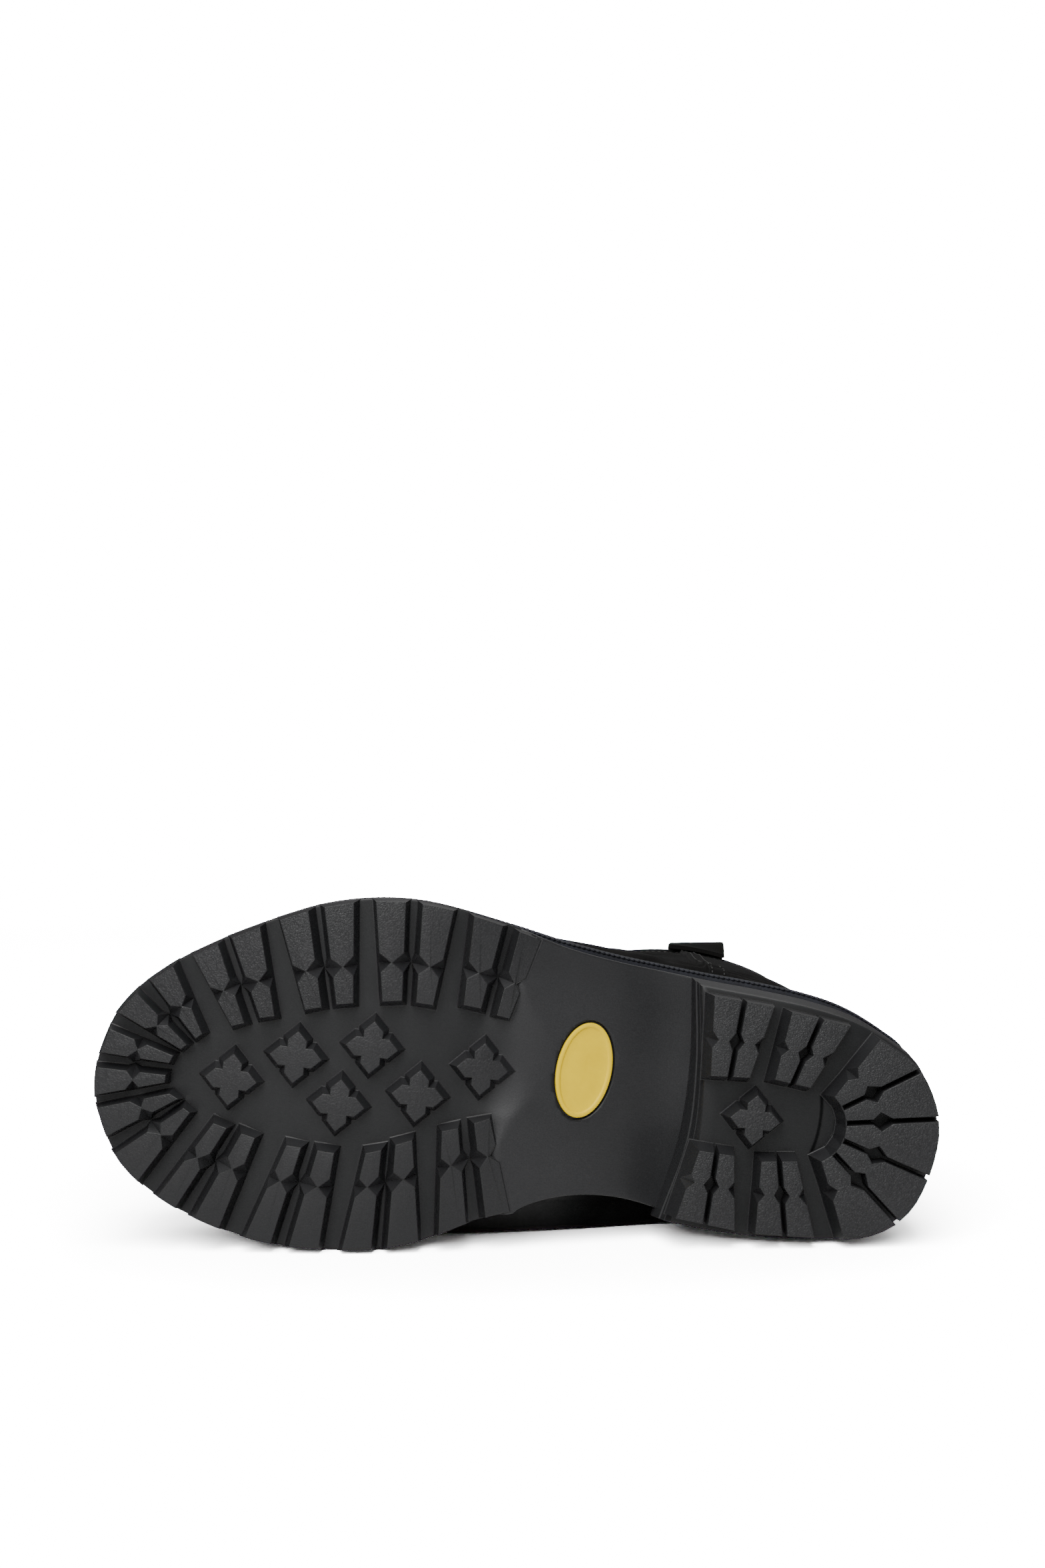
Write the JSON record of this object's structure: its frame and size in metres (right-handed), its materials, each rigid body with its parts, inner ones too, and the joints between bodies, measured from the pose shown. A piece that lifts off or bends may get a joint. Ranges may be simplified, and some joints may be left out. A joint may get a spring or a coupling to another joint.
{
  "type": "ankle boot",
  "caption": "Left ankle boot with a warm lining, matt suede upper, braided seam cord and thick lugged rubber sole, lying on its inner side.",
  "frame": {"origin": "centre of the bounding box's base, on the ground that the boot lies on", "axes": "toe to -X, heel to +X, sole facing -Y, collar to +Y, outer side of the foot up, +Z"},
  "size_m": [0.3047, 0.2066, 0.125],
  "materials": {
    "outsole": "dark grey moulded rubber, pebble-grained on the lug faces",
    "midsole": "dark grey foamed rubber, satin",
    "welt_braid": "blue-black braided cord",
    "upper": "matt black suede",
    "insole": "dark grey short pile",
    "pull_loop": "matt black webbing",
    "sole_badge": "plain yellow rubber, satin"
  },
  "bodies": {
    "root": {"outsole": "outsole", "midsole": "midsole", "welt_braid": "welt_braid", "upper": "upper", "insole": "insole", "pull_loop": "pull_loop", "sole_badge": "sole_badge"}
  },
  "joints": []
}
